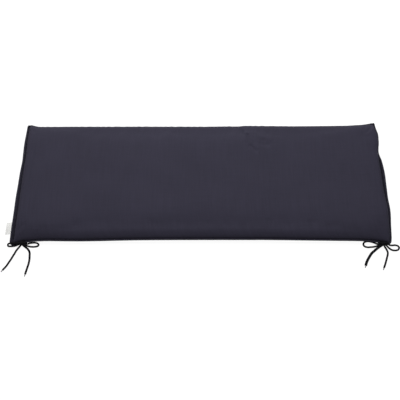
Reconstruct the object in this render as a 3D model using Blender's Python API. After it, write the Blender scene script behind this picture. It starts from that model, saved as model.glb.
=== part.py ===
"""A bench cushion: one filled solid with a piped edge, a side label and two bow ties.

Metres, +Z up. X runs along the bench and -Y is the front. The origin lies under the middle of the
cushion, on the flat underside that rests on the seat.
"""
import math

import bmesh
import bpy
from mathutils import Vector

MM = 0.001

# Overall sizes, measured over the piping
LENGTH = 1.215
DEPTH = 0.480
SEAM_HEIGHT = 0.021
GAP = 0.0003

# Filling: the rolled edge of the top, its low dome, and the turn up of the underside
ROLL_RISE = 0.0215
ROLL_REACH = 0.026
END_ROLL_REACH = 0.014
DOME_RISE = 0.0085
DOME_REACH = 0.125
DOME_FALL = 2.4
UNDER_REACH = 0.034

# Piping, label and ties
PIPING_DIAMETER = 0.0055
LABEL_LENGTH = 0.040
LABEL_REACH = 0.018
LABEL_THICKNESS = 0.0010
LABEL_FALL = 0.0045
LABEL_BEND = 1.6
LABEL_ROWS = 5
LABEL_STEPS = 6
LABEL_CENTRE_Y = -0.182
CORD_DIAMETER = 0.0048
CORD_SPACING = 2.1 * CORD_DIAMETER
LOOP_SPACING = 1.1 * CORD_DIAMETER
AGLET_DIAMETER = 0.0034
AGLET_LENGTH = 0.016
KNOT_SIZE = (0.0130, 0.0115, 0.0118)
KNOT_GROOVE = 0.12
KNOT_WRAPS = 3
KNOT_TWIST = 0.6
ROOT_SIDES = 12

# The rim of the cloth lies inside the piping
RIM_INSET = PIPING_DIAMETER + GAP
HALF_X = LENGTH / 2 - RIM_INSET
HALF_Y = DEPTH / 2 - RIM_INSET

# Grid lines: angles up the rolled edge, then distances in from the rim, then an even pitch
ROLL_ANGLES = (0, 18, 37, 56, 74)
SHOULDER_STEPS = (0.034, 0.050, 0.074, 0.104)
PITCH_X = 0.031
PITCH_Y = 0.026

# How far the two ends stand out from the nominal outline, in millimetres
END_EDGES = (
    # y, left end, right end
    (-240, 3.5, -9.5),
    (-215, 3.5, -5.5),
    (-170, 1.5, -3.0),
    (-120, 1.0, 1.0),
    (-75, 1.5, -0.5),
    (-20, 0.5, 0.5),
    (30, 0.0, 1.5),
    (80, -2.0, -2.0),
    (115, -1.0, -8.5),
    (150, 0.0, -4.5),
    (190, -0.5, -0.5),
    (220, -1.0, -5.5),
    (240, -1.0, -7.0),
)

# How wide the flat seam is at the two ends, between the piping and the roll, in millimetres
END_SEAMS = (
    # y, left end, right end
    (-240, 7.0, 2.0),
    (-180, 10.0, 2.5),
    (-75, 9.5, 6.0),
    (0, 8.0, 9.0),
    (50, 7.0, 9.0),
    (95, 7.0, 4.5),
    (142, 7.0, 0.5),
    (190, 6.0, 1.5),
    (240, 3.0, 3.0),
)

# How far the two long edges stand out from the nominal outline, in millimetres
LONG_EDGES = (
    # x, front, back
    (-607, 5.5, 3.5),
    (-590, 4.5, 1.0),
    (-572, 1.5, -5.0),
    (-555, -1.5, -8.0),
    (-500, -3.0, -11.5),
    (-380, -2.0, -12.0),
    (-200, -6.0, -11.5),
    (0, -7.0, -12.0),
    (110, -7.0, -10.0),
    (150, -7.0, -8.0),
    (200, -7.0, -8.0),
    (380, -4.5, -6.5),
    (500, -3.0, -4.5),
    (555, -1.5, 0.5),
    (574, 1.5, 4.0),
    (590, 4.0, 8.0),
    (607, 5.0, 13.0),
)
EDGE_FADE = 0.15

# Corners: how far the seam droops below the rest and over what reach, and the outline's rounding
CORNERS = (
    # x, y, droop, reach, radius
    (-600, -240, 14.5, 55, 10),
    (600, -240, 13.0, 55, 10),
    (-600, 240, 5.0, 60, 5),
    (600, 240, 3.5, 60, 3),
)

# Soft troughs in the top, each along a short line, in millimetres
TROUGHS = (
    # x0, y0, x1, y1, half width, depth
    (141, 222, 151, 188, 12, 4.0),
    (172, 176, 184, 140, 13, 2.0),
    (586, 214, 552, 170, 15, 1.8),
    (236, -172, 262, -196, 16, 1.2),
    (-140, 205, -152, 172, 16, 1.4),
)

# Where the filling swells out over the right end's seam, in millimetres
BULGE_CENTRE_Y = 142
BULGE_REACH = 42
BULGE_OUT = 6.0
EDGE_SWELL = 1.2

# Routes of the ties' strands from knot to tip, in millimetres
TIES = {
    "left": {
        "knot": (-568.0, -243.0, 19.2),
        "loop_outer": (
            (-576.0, -243.4, 21.2),
            (-582.0, -242.4, 18.4),
            (-590.0, -241.2, 15.6),
            (-598.0, -240.2, 14.2),
            (-606.0, -239.6, 12.4),
            (-612.0, -239.4, 9.0),
            (-614.8, -241.6, 5.6),
            (-613.0, -244.8, 3.8),
            (-607.0, -246.4, 4.8),
            (-599.0, -247.4, 7.0),
            (-588.4, -247.4, 10.4),
            (-576.6, -245.0, 15.8),
        ),
        "loop_inner": (
            (-559.2, -242.8, 21.6),
            (-554.9, -242.4, 16.6),
            (-551.8, -241.1, 10.9),
            (-547.0, -236.8, 7.4),
            (-540.0, -233.4, 4.4),
            (-530.0, -231.8, 2.9),
            (-521.4, -234.4, 2.6),
            (-518.0, -239.6, 2.6),
            (-521.4, -244.8, 2.6),
            (-531.0, -247.0, 2.6),
            (-542.6, -247.0, 3.6),
            (-552.2, -247.0, 8.2),
            (-559.2, -245.8, 15.6),
        ),
        "tail_outer": (
            (-570.9, -247.0, 15.0),
            (-577.0, -251.6, 8.8),
            (-582.6, -256.0, 4.2),
            (-586.8, -262.6, 2.5),
            (-589.8, -271.0, 2.5),
            (-594.0, -280.5, 2.5),
            (-598.2, -291.5, 2.5),
            (-603.4, -302.4, 2.5),
            (-607.8, -312.4, 2.5),
            (-612.4, -320.8, 2.5),
            (-620.0, -331.6, 2.5),
        ),
        "tail_inner": (
            (-565.0, -247.6, 14.5),
            (-557.5, -251.6, 8.8),
            (-551.0, -255.4, 4.4),
            (-546.2, -261.4, 2.5),
            (-543.0, -269.5, 2.5),
            (-541.9, -280.5, 2.5),
            (-541.0, -291.5, 2.5),
            (-541.3, -302.4, 2.5),
            (-542.5, -313.3, 2.5),
            (-544.4, -324.0, 2.5),
            (-546.2, -334.0, 2.5),
            (-548.4, -346.5, 2.5),
        ),
    },
    "right": {
        "knot": (569.5, -243.6, 19.2),
        "loop_outer": (
            (578.2, -243.2, 21.4),
            (584.4, -244.6, 17.0),
            (592.0, -246.0, 11.4),
            (600.6, -243.6, 6.2),
            (610.0, -241.2, 3.6),
            (618.6, -243.4, 2.8),
            (622.2, -250.4, 2.6),
            (617.6, -258.0, 2.6),
            (608.0, -260.4, 2.6),
            (597.6, -258.4, 3.0),
            (587.2, -253.0, 8.0),
            (578.2, -246.8, 15.4),
        ),
        "loop_inner": (
            (560.8, -243.3, 21.6),
            (556.2, -242.7, 16.6),
            (552.2, -241.2, 10.8),
            (545.6, -234.6, 6.6),
            (536.0, -228.8, 3.6),
            (525.0, -226.6, 2.6),
            (514.6, -230.0, 2.6),
            (510.4, -237.8, 2.6),
            (513.8, -245.4, 2.6),
            (523.0, -248.6, 2.6),
            (535.4, -247.8, 2.6),
            (548.8, -247.2, 5.8),
            (554.6, -246.5, 10.1),
            (560.8, -245.9, 15.8),
        ),
        "tail_outer": (
            (572.3, -247.6, 15.0),
            (576.6, -252.6, 8.6),
            (581.6, -258.4, 4.0),
            (584.0, -266.4, 2.5),
            (583.0, -275.0, 2.5),
            (579.8, -285.0, 2.5),
            (576.2, -295.4, 2.5),
            (572.6, -305.6, 2.5),
            (569.0, -315.0, 2.5),
            (565.4, -323.7, 2.5),
        ),
        "tail_inner": (
            (566.4, -248.0, 14.6),
            (556.5, -252.4, 8.6),
            (548.0, -257.4, 4.4),
            (540.5, -263.8, 2.5),
            (533.2, -270.8, 2.5),
            (526.2, -280.8, 2.5),
            (519.6, -291.8, 2.5),
            (513.4, -303.8, 2.5),
            (509.4, -315.6, 2.5),
        ),
    },
}

COLOURS = {
    "navy_cloth": ((0.039, 0.037, 0.053), 0.90),
    "piping_cloth": ((0.030, 0.028, 0.042), 0.90),
    "tie_cord": ((0.014, 0.013, 0.019), 0.80),
    "clear_tip": ((0.50, 0.50, 0.50), 0.30),
    "label_ribbon": ((0.86, 0.86, 0.85), 0.70),
}


def clear_scene():
    """Removes every object that the file holds."""
    for item in list(bpy.data.objects):
        bpy.data.objects.remove(item, do_unlink=True)


def material(name):
    """Returns the named material, made once."""
    found = bpy.data.materials.get(name)
    if found:
        return found
    colour, roughness = COLOURS[name]
    made = bpy.data.materials.new(name)
    made.use_nodes = True
    shader = made.node_tree.nodes["Principled BSDF"]
    shader.inputs["Base Color"].default_value = (*colour, 1.0)
    shader.inputs["Roughness"].default_value = roughness
    shader.inputs["Metallic"].default_value = 0.0
    return made


def add_object(name, data, material_name):
    """Links new data to the scene as one named object."""
    item = bpy.data.objects.new(name, data)
    bpy.context.collection.objects.link(item)
    data.materials.append(material(material_name))
    return item


def mesh_object(name, build, material_name):
    """Makes a closed mesh object from a bmesh with its faces turned out."""
    bmesh.ops.recalc_face_normals(build, faces=build.faces)
    mesh = bpy.data.meshes.new(name)
    build.to_mesh(mesh)
    build.free()
    mesh.shade_smooth()
    return add_object(name, mesh, material_name)


def catmull(before, start, end, after, share):
    """Returns the point of a Catmull-Rom span, for numbers or vectors."""
    return 0.5 * (
        2 * start
        + (end - before) * share
        + (2 * before - 5 * start + 4 * end - after) * share ** 2
        + (3 * start - before - 3 * end + after) * share ** 3
    )


def read_table(table, place, column):
    """Reads one column of a table smoothly at a place along its first column."""
    last = len(table) - 1
    place = min(max(place, table[0][0]), table[last][0])
    row = max(index for index in range(last) if table[index][0] <= place)
    share = (place - table[row][0]) / (table[row + 1][0] - table[row][0])
    rows = [table[min(max(index, 0), last)][column] for index in range(row - 1, row + 3)]
    return catmull(*rows, share)


def grid_lines(half, pitch):
    """Returns the grid's places along one axis, close together at the rolled edges."""
    insets = [ROLL_REACH * (1 - math.cos(math.radians(angle))) for angle in ROLL_ANGLES]
    insets.extend(SHOULDER_STEPS)
    inner = half - insets[-1]
    count = round(inner / pitch)
    side = [half - inset for inset in insets]
    middle = [inner * step / count for step in range(count - 1, 0, -1)]
    positive = side + middle
    return [-place for place in positive] + [0.0] + positive[::-1]


def arc(share):
    """Rises as a quarter circle does, from 0 at the rim to 1 and on level."""
    return math.sqrt(1 - (1 - min(max(share, 0.0), 1.0)) ** 2)


def rolls(x, y):
    """Returns the rise of the rolled edge from the ends, past their flat seam, and from the sides."""
    seam = read_table(END_SEAMS, y / MM, 2 if x > 0 else 1) * MM
    return arc((HALF_X - seam - abs(x)) / END_ROLL_REACH), arc((HALF_Y - abs(y)) / ROLL_REACH)


def swell(share):
    """Rises softly from 0 at the rim to 1 and on level."""
    return 1 - (1 - min(share, 1.0)) ** DOME_FALL


def seam_height(x, y):
    """Returns the height of the seam at a plan place, lower at the corners."""
    height = SEAM_HEIGHT
    for corner_x, corner_y, droop, reach, _ in CORNERS:
        away = math.hypot(x - corner_x * MM, y - corner_y * MM) / (reach * MM)
        height -= droop * MM * math.exp(-away ** 2)
    return height


def corner_radius(x, y):
    """Returns the outline's radius at the corner nearest to a plan place."""
    nearest = min(CORNERS, key=lambda corner: math.hypot(x - corner[0] * MM, y - corner[1] * MM))
    return nearest[4] * MM


def trough_depth(x, y):
    """Returns how far the soft troughs lower the top at a plan place."""
    depth = 0.0
    for x0, y0, x1, y1, half_width, deep in TROUGHS:
        start = Vector((x0 * MM, y0 * MM))
        run = Vector((x1 * MM, y1 * MM)) - start
        share = (Vector((x, y)) - start).dot(run) / run.length_squared
        nearest = start + run * min(max(share, 0.0), 1.0)
        away = (Vector((x, y)) - nearest).length / (half_width * MM)
        depth += deep * MM * math.exp(-away ** 2)
    return depth


def plan_place(x, y):
    """Moves a place of the plain rectangle to the cushion's own uneven outline."""
    radius = corner_radius(x, y)
    over_x = (abs(x) - HALF_X + radius) / radius
    over_y = (abs(y) - HALF_Y + radius) / radius
    new_x, new_y = abs(x), abs(y)
    if over_x > 0 and over_y > 0:
        new_x += radius * over_x * (math.sqrt(1 - over_y ** 2 / 2) - 1)
        new_y += radius * over_y * (math.sqrt(1 - over_x ** 2 / 2) - 1)
    near_end = max(0.0, 1 - (HALF_X - abs(x)) / EDGE_FADE) ** 2
    near_side = max(0.0, 1 - (HALF_Y - abs(y)) / EDGE_FADE) ** 2
    end_out = read_table(END_EDGES, y / MM, 2 if x > 0 else 1) * MM
    side_out = read_table(LONG_EDGES, x / MM, 2 if y > 0 else 1) * MM
    new_x += end_out * near_end
    new_y += side_out * near_side
    return math.copysign(new_x, x), math.copysign(new_y, y)


def hump(rise):
    """Runs from 0 at the rim to 1 two thirds of the way up the rolled edge, and back to 0."""
    return 27 / 4 * rise ** 2 * (1 - rise)


def swell_out(x, y):
    """Returns how far the filling pushes the top's rolled edge out, along X and Y."""
    rise_x, rise_y = rolls(x, y)
    weight_x = hump(rise_x) * rise_y
    weight_y = hump(rise_y) * rise_x
    out_x = EDGE_SWELL * MM
    if x > 0:
        out_x += BULGE_OUT * MM * math.exp(-((y / MM - BULGE_CENTRE_Y) / BULGE_REACH) ** 2)
    return math.copysign(out_x * weight_x, x), math.copysign(EDGE_SWELL * MM * weight_y, y)


def top_point(x, y):
    """Returns the cushion's top at a place of the plain rectangle."""
    plan_x, plan_y = plan_place(x, y)
    rise_x, rise_y = rolls(x, y)
    roll = rise_x * rise_y
    dome = swell((HALF_X - abs(x)) / DOME_REACH) * swell((HALF_Y - abs(y)) / DOME_REACH)
    height = seam_height(plan_x, plan_y) + ROLL_RISE * roll + DOME_RISE * dome
    height -= trough_depth(plan_x, plan_y) * roll
    out_x, out_y = swell_out(x, y)
    return Vector((plan_x + out_x, plan_y + out_y, height))


def bottom_point(x, y):
    """Returns the cushion's underside at a place of the plain rectangle, flat inside its edge."""
    plan_x, plan_y = plan_place(x, y)
    turn = arc((HALF_X - abs(x)) / UNDER_REACH) * arc((HALF_Y - abs(y)) / UNDER_REACH)
    return Vector((plan_x, plan_y, seam_height(plan_x, plan_y) * (1 - turn)))


def rim_places():
    """Returns the grid places round the rim, counterclockwise from the front left corner."""
    lines_x = grid_lines(HALF_X, PITCH_X)
    lines_y = grid_lines(HALF_Y, PITCH_Y)
    front = [(x, -HALF_Y) for x in lines_x[:-1]]
    right = [(HALF_X, y) for y in lines_y[:-1]]
    back = [(x, HALF_Y) for x in lines_x[:0:-1]]
    left = [(-HALF_X, y) for y in lines_y[:0:-1]]
    return front + right + back + left


def build_cushion():
    """Makes the filled body: a crowned top and a flat underside that share one rim."""
    lines_x = grid_lines(HALF_X, PITCH_X)
    lines_y = grid_lines(HALF_Y, PITCH_Y)
    build = bmesh.new()
    top, bottom = {}, {}
    for column, x in enumerate(lines_x):
        for row, y in enumerate(lines_y):
            cell = (column, row)
            on_rim = column in (0, len(lines_x) - 1) or row in (0, len(lines_y) - 1)
            top[cell] = build.verts.new(top_point(x, y))
            bottom[cell] = top[cell] if on_rim else build.verts.new(bottom_point(x, y))
    for column in range(len(lines_x) - 1):
        for row in range(len(lines_y) - 1):
            corners = [(column, row), (column + 1, row), (column + 1, row + 1), (column, row + 1)]
            build.faces.new([top[cell] for cell in corners])
            build.faces.new([bottom[cell] for cell in reversed(corners)])
    return mesh_object("cushion", build, "navy_cloth")


def piping_centres():
    """Returns the piping's centre line, just outside the rim all the way round."""
    rim = [top_point(x, y) for x, y in rim_places()]
    centres = []
    for index, point in enumerate(rim):
        run = rim[(index + 1) % len(rim)] - rim[index - 1]
        outward = Vector((run.y, -run.x, 0.0)).normalized()
        centres.append(point + outward * (PIPING_DIAMETER / 2 + GAP))
    return centres


def tube(name, points, diameter, material_name, closed=False):
    """Makes a plain round tube along a list of points, open with flat caps or closed in a ring."""
    curve = bpy.data.curves.new(name, "CURVE")
    curve.dimensions = "3D"
    curve.bevel_depth = diameter / 2
    curve.bevel_resolution = 2
    curve.use_fill_caps = not closed
    curve.twist_mode = "Z_UP" if closed else "MINIMUM"
    curve.render_resolution_u = 0
    spline = curve.splines.new("POLY")
    spline.points.add(len(points) - 1)
    spline.use_cyclic_u = closed
    for knot, point in zip(spline.points, points):
        knot.co = (*point, 1.0)
    return add_object(name, curve, material_name)


def smooth_route(route, spacing):
    """Returns points a given spacing apart on the curve through a route, none below the seat."""
    places = [Vector(point) * MM for point in route]
    padded = [2 * places[0] - places[1], *places, 2 * places[-1] - places[-2]]
    fine = [places[0]]
    for index in range(len(places) - 1):
        span = padded[index:index + 4]
        fine.extend(catmull(*span, step / 12) for step in range(1, 13))
    lengths = [0.0]
    for start, end in zip(fine, fine[1:]):
        lengths.append(lengths[-1] + (end - start).length)
    count = max(2, round(lengths[-1] / spacing))
    points = []
    for step in range(count + 1):
        wanted = lengths[-1] * step / count
        index = max(place for place in range(len(fine) - 1) if lengths[place] <= wanted + 1e-9)
        share = (wanted - lengths[index]) / (lengths[index + 1] - lengths[index])
        point = fine[index].lerp(fine[index + 1], min(share, 1.0))
        point.z = max(point.z, CORD_DIAMETER / 2)
        points.append(point)
    return points


def build_label():
    """Makes the folded side label, sewn in under the piping and bent a little to the seat."""
    build = bmesh.new()
    across = [LABEL_CENTRE_Y + LABEL_LENGTH * (step / LABEL_ROWS - 0.5) for step in range(LABEL_ROWS + 1)]
    rings = []
    for step in range(LABEL_STEPS + 1):
        share = step / LABEL_STEPS
        upper, lower = [], []
        for y in across:
            rim_x = plan_place(-HALF_X, y)[0]
            x = rim_x - PIPING_DIAMETER / 2 - share * (LABEL_REACH + PIPING_DIAMETER / 2)
            z = seam_height(rim_x, y) - PIPING_DIAMETER / 2 - 2 * GAP - LABEL_FALL * share ** LABEL_BEND
            upper.append(build.verts.new((x, y, z)))
            lower.append(build.verts.new((x, y, z - LABEL_THICKNESS)))
        rings.append(upper + lower[::-1])
    for before, after in zip(rings, rings[1:]):
        for index in range(len(before)):
            following = (index + 1) % len(before)
            build.faces.new((before[index], before[following], after[following], after[index]))
    build.faces.new(rings[0])
    build.faces.new(rings[-1])
    return mesh_object("label_tag", build, "label_ribbon")


def build_knot(name, centre):
    """Makes the bow's knot, a tight ball with the wraps of the cord raised on it."""
    build = bmesh.new()
    bmesh.ops.create_uvsphere(build, u_segments=20, v_segments=12, radius=0.5)
    for vert in build.verts:
        direction = vert.co.normalized()
        around = math.atan2(direction.z, direction.y)
        turn = direction.x * math.pi * KNOT_WRAPS / 2 + KNOT_TWIST * math.sin(around)
        scale = 1 - KNOT_GROOVE * (1 - abs(math.sin(turn)))
        vert.co = Vector(size * part for size, part in zip(KNOT_SIZE, vert.co)) * scale
        vert.co += Vector(centre) * MM
    return mesh_object(name, build, "tie_cord")


def build_root(name, knot):
    """Makes the two strands that leave the seam over the piping and run into the knot."""
    radius = CORD_DIAMETER / 2
    x, y, z = (part * MM for part in knot)
    rim_y = plan_place(x, -HALF_Y)[1]
    level = seam_height(x, rim_y) + PIPING_DIAMETER / 2 + 3 * GAP + radius
    outline = []
    for step in range(ROOT_SIDES):
        angle = 2 * math.pi * (step + 0.5) / ROOT_SIDES
        across = math.copysign(radius, math.cos(angle)) + radius * math.cos(angle)
        outline.append((across, radius * math.sin(angle)))
    build = bmesh.new()
    rings = []
    for place_y in (rim_y - EDGE_SWELL * MM - GAP, y + KNOT_SIZE[1] / 2 + GAP):
        rings.append([build.verts.new((x + across, place_y, level + up)) for across, up in outline])
    for index in range(ROOT_SIDES):
        following = (index + 1) % ROOT_SIDES
        build.faces.new((rings[0][index], rings[0][following], rings[1][following], rings[1][index]))
    build.faces.new(rings[0])
    build.faces.new(rings[1])
    return mesh_object(name, build, "tie_cord")


def build_aglet(name, route):
    """Makes the stiff tip that closes a tail, in line with the cord's last stretch."""
    start, end = Vector(route[-2]) * MM, Vector(route[-1]) * MM
    heading = Vector((end.x - start.x, end.y - start.y, 0.0)).normalized()
    base = end + heading * GAP
    base.z = CORD_DIAMETER / 2
    tip = base + heading * AGLET_LENGTH
    tip.z = AGLET_DIAMETER / 2 + GAP
    return tube(name, [base, base.lerp(tip, 0.5), tip], AGLET_DIAMETER, "clear_tip")


def build_tie(side, routes):
    """Makes one bow: its root strands, knot, two loops and two tails with their tips."""
    build_root(f"tie_{side}_root", routes["knot"])
    build_knot(f"tie_{side}_knot", routes["knot"])
    for place in ("outer", "inner"):
        loop = smooth_route(routes[f"loop_{place}"], LOOP_SPACING)
        tail = smooth_route(routes[f"tail_{place}"], CORD_SPACING)
        tube(f"tie_{side}_loop_{place}", loop, CORD_DIAMETER, "tie_cord")
        tube(f"tie_{side}_tail_{place}", tail, CORD_DIAMETER, "tie_cord")
        build_aglet(f"tie_{side}_aglet_{place}", routes[f"tail_{place}"])


clear_scene()
build_cushion()
tube("piping", piping_centres(), PIPING_DIAMETER, "piping_cloth", closed=True)
build_label()
for tie_side, tie_routes in TIES.items():
    build_tie(tie_side, tie_routes)
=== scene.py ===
"""Dresses a bench cushion: cover, piping, side label and two bow ties, in soft studio light."""

import logging
import math
from dataclasses import dataclass
from enum import Enum
from typing import Callable, Sequence

import bpy
import numpy as np
from mathutils import Matrix, Vector


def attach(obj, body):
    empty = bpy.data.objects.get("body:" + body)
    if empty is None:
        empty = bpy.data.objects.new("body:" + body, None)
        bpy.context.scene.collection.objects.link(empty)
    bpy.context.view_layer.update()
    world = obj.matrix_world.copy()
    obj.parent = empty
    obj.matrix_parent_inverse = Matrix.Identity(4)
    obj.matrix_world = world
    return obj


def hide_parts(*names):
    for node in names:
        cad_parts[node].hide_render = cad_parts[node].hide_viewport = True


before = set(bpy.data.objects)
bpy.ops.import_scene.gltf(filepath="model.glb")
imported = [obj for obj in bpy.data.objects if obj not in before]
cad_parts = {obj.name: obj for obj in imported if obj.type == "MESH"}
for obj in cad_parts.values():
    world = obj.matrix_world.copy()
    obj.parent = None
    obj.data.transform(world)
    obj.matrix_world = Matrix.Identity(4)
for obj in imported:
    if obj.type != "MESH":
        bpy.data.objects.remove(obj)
log = logging.getLogger("bench_cushion")

MM = 0.001
SPAN_STEPS = 24      # points read on each span of a route
END_ROUNDING = 0.4   # how far a cord's end bulges, in radii
UPRIGHT = 0.2        # a line whose level share is under this takes its side from Y
BIAS = 0.7071        # turns a weave by 45 degrees
PEAK = 27 / 4        # makes share ** 2 * (1 - share) peak at 1
Point = tuple[float, float, float]
Number = "Value | float"

# How far the two ends stand out from the nominal outline, in millimetres
END_EDGES = (
    # y, left end, right end
    (-240, 3.5, -9.5), (-215, 3.5, -5.5), (-170, 1.5, -3.0), (-120, 1.0, 1.0), (-75, 1.5, -0.5),
    (-20, 0.5, 0.5), (30, 0.0, 1.5), (80, -2.0, -2.0), (115, -1.0, -8.5), (150, 0.0, -4.5),
    (190, -0.5, -0.5), (220, -1.0, -5.5), (240, -1.0, -7.0),
)

# How wide the flat seam is at the two ends, between the piping and the roll, in millimetres
END_SEAMS = (
    # y, left end, right end
    (-240, 7.0, 2.0), (-180, 10.0, 2.5), (-75, 9.5, 6.0), (0, 8.0, 9.0), (50, 7.0, 9.0),
    (95, 7.0, 4.5), (142, 7.0, 0.5), (190, 6.0, 1.5), (240, 3.0, 3.0),
)

# How wide the flat seam is at the back edge, in millimetres
BACK_SEAMS = (
    # x, back edge
    (-607, 4.0), (-540, 2.0), (-450, 0.0), (180, 0.0), (280, 2.0), (340, 4.0), (580, 4.0),
    (607, 3.0),
)

# Where the painted shade at each back corner starts and how far it takes to be full, in metres
BACK_CORNER_SHADES = (
    # side, x, fade along x, y, fade along y
    (1, 0.26, 0.04, 0.12, 0.03),
    (-1, 0.53, 0.04, 0.20, 0.03),
)

# How far the two long edges stand out from the nominal outline, in millimetres
LONG_EDGES = (
    # x, front, back
    (-607, 5.5, 3.5), (-590, 4.5, 1.0), (-572, 1.5, -5.0), (-555, -1.5, -8.0), (-500, -3.0, -11.5),
    (-380, -2.0, -12.0), (-200, -6.0, -11.5), (0, -7.0, -12.0), (110, -7.0, -10.0),
    (150, -7.0, -8.0), (200, -7.0, -8.0), (380, -4.5, -6.5), (500, -3.0, -4.5),
    (555, -1.5, 0.5), (574, 1.5, 4.0), (590, 4.0, 8.0), (607, 5.0, 13.0),
)

# Corners: how far the seam droops and over what reach, and the outline's rounding
CORNERS = (
    # x, y, droop, reach, radius
    (-600, -240, 14.5, 55, 10),
    (600, -240, 13.0, 55, 10),
    (-600, 240, 5.0, 60, 5),
    (600, 240, 3.5, 60, 3),
)

# Soft troughs in the filling, each along a short line, in millimetres
TROUGHS = (
    # x0, y0, x1, y1, half width, depth
    (121, 222, 137, 182, 11, 3.6),
    (172, 176, 184, 140, 13, 2.0),
    (586, 214, 552, 170, 15, 1.8),
    (236, -172, 262, -196, 16, 1.2),
    (-140, 205, -152, 172, 16, 1.4),
)

# Creases of the cover alone, each along a short line, in millimetres; a negative depth is a ridge
CREASES = (
    # x0, y0, x1, y1, half width, depth
    (-408, -226, -404, -196, 8, 1.0),
    (-291, -228, -294, -192, 9, 0.9),
    (-165, -224, -160, -188, 10, 1.2),
    (-117, -226, -119, -198, 7, 0.9),
    (-76, -224, -70, -190, 8, 1.1),
    (-38, -226, -41, -196, 7, 0.8),
    (15, -226, 19, -192, 9, 1.0),
    (78, -224, 75, -196, 8, 0.8),
    (204, -222, 212, -184, 10, 1.2),
    (277, -226, 272, -196, 8, 0.8),
    (395, -226, 399, -200, 9, 0.7),
    (136, 217, 151, 182, 6, -3.8),
    (150, 178, 149, 168, 7, -0.8),
    (150, 178, 148, 157, 7, -0.8),
    (150, 178, 147, 146, 7, -0.8),
    (163, 122, 180, 101, 6, 2.6),
    (208, 150, 219, 131, 7, 2.2),
    (201, 129, 220, 122, 7, 1.4),
    (224, 170, 230, 148, 7, -1.4),
    (232, 214, 226, 178, 8, 1.0),
    (262, 216, 254, 176, 9, 1.2),
    (200, 214, 196, 186, 8, 0.7),
    (108, 218, 102, 192, 9, 0.8),
    (-92, 220, -96, 184, 8, 0.7),
    (-118, 220, -124, 182, 7, 0.9),
    (-172, 222, -168, 180, 8, 0.8),
    (-206, 220, -212, 186, 7, 0.9),
    (-238, 220, -234, 190, 8, 0.7),
    (-268, 222, -272, 196, 7, 0.6),
    (590, 222, 566, 188, 6, 1.6),
    (592, 204, 562, 176, 6, -1.2),
    (572, 222, 556, 200, 6, 1.2),
    (-592, 220, -570, 192, 7, 1.0),
    (-590, -216, -566, -190, 8, 1.2),
    (588, -216, 564, -188, 8, 1.2),
    (186, 168, 190, 146, 8, -0.9),
)

# The knot's turns of cord: how far along X and leaning how much, in metres and shares
KNOT_TURNS = (
    # shift, lean, size
    (-0.0026, 0.16, 0.98),
    (0.0024, -0.12, 1.0),
    (0.0, 0.62, 1.04),
)

# The studio's soft lamps, in metres and watts
LAMPS = (
    # name, place, aim, width, power
    ("overhead_softbox", (-0.05, 0.4, 3.0), (0.0, 0.0, 0.0), 2.0, 128.0),
    ("front_fill", (0.0, -3.2, 1.3), (0.0, 0.0, 0.0), 2.0, 30.0),
    ("back_softbox", (-0.3, 2.4, 1.1), (0.0, 0.0, 0.0), 1.3, 108.0),
    ("left_fill", (-2.6, -0.1, 0.8), (-0.5, 0.0, 0.0), 1.2, 20.0),
    ("right_fill", (2.6, -0.1, 0.8), (0.5, 0.0, 0.0), 1.2, 20.0),
)


def catmull(before: np.ndarray, start: np.ndarray, end: np.ndarray, after: np.ndarray,
            share: np.ndarray) -> np.ndarray:
    """Finds the point of a Catmull-Rom span.

    Args:
        before: The knot before the span.
        start: The knot at the span's start.
        end: The knot at the span's end.
        after: The knot after the span.
        share: How far along the span, from 0 to 1.

    Returns:
        The value there.
    """
    return 0.5 * (
        2 * start
        + (end - before) * share
        + (2 * before - 5 * start + 4 * end - after) * share ** 2
        + (3 * start - before - 3 * end + after) * share ** 3
    )


def read_table(table: Sequence[Sequence[float]], place: np.ndarray, column: int) -> np.ndarray:
    """Reads one column of a table smoothly along its first column.

    Args:
        table: The rows, in rising order of their first number.
        place: Where to read, in the first column's unit.
        column: The column to read.

    Returns:
        The values at the places.
    """
    rows = np.asarray(table, dtype=float)
    keys, values, last = rows[:, 0], rows[:, column], len(rows) - 1
    place = np.clip(place, keys[0], keys[last])
    row = np.clip(np.searchsorted(keys, place, side="right") - 1, 0, last - 1)
    share = (place - keys[row]) / (keys[row + 1] - keys[row])
    knots = [values[np.clip(row + step, 0, last)] for step in (-1, 0, 1, 2)]
    return catmull(*knots, share)


def read_sides(table: Sequence[Sequence[float]], side: np.ndarray,
               place: np.ndarray) -> np.ndarray:
    """Reads a table in millimetres that has one column for each of two opposite edges.

    Args:
        table: Rows of a place, the value at the negative edge and the value at the positive one.
        side: Places across, whose sign says which edge is nearer.
        place: Places along, in metres.

    Returns:
        The values in metres.
    """
    negative, positive = (read_table(table, place / MM, column) for column in (1, 2))
    return np.where(side > 0, positive, negative) * MM


def line_relief(table: Sequence[Sequence[float]], x: np.ndarray, y: np.ndarray) -> np.ndarray:
    """Sums the depth of soft marks that each lie along a short line.

    Args:
        table: Rows of x0, y0, x1, y1, half width and depth in millimetres.
        x: Places along X in metres.
        y: Places along Y in metres.

    Returns:
        The depth at each place, in metres.
    """
    depth = np.zeros_like(x)
    for x0, y0, x1, y1, half_width, deep in table:
        run_x, run_y = (x1 - x0) * MM, (y1 - y0) * MM
        share = ((x - x0 * MM) * run_x + (y - y0 * MM) * run_y) / (run_x ** 2 + run_y ** 2)
        share = np.clip(share, 0.0, 1.0)
        away = np.hypot(x - x0 * MM - run_x * share, y - y0 * MM - run_y * share)
        depth += deep * MM * np.exp(-(away / (half_width * MM)) ** 2)
    return depth


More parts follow.
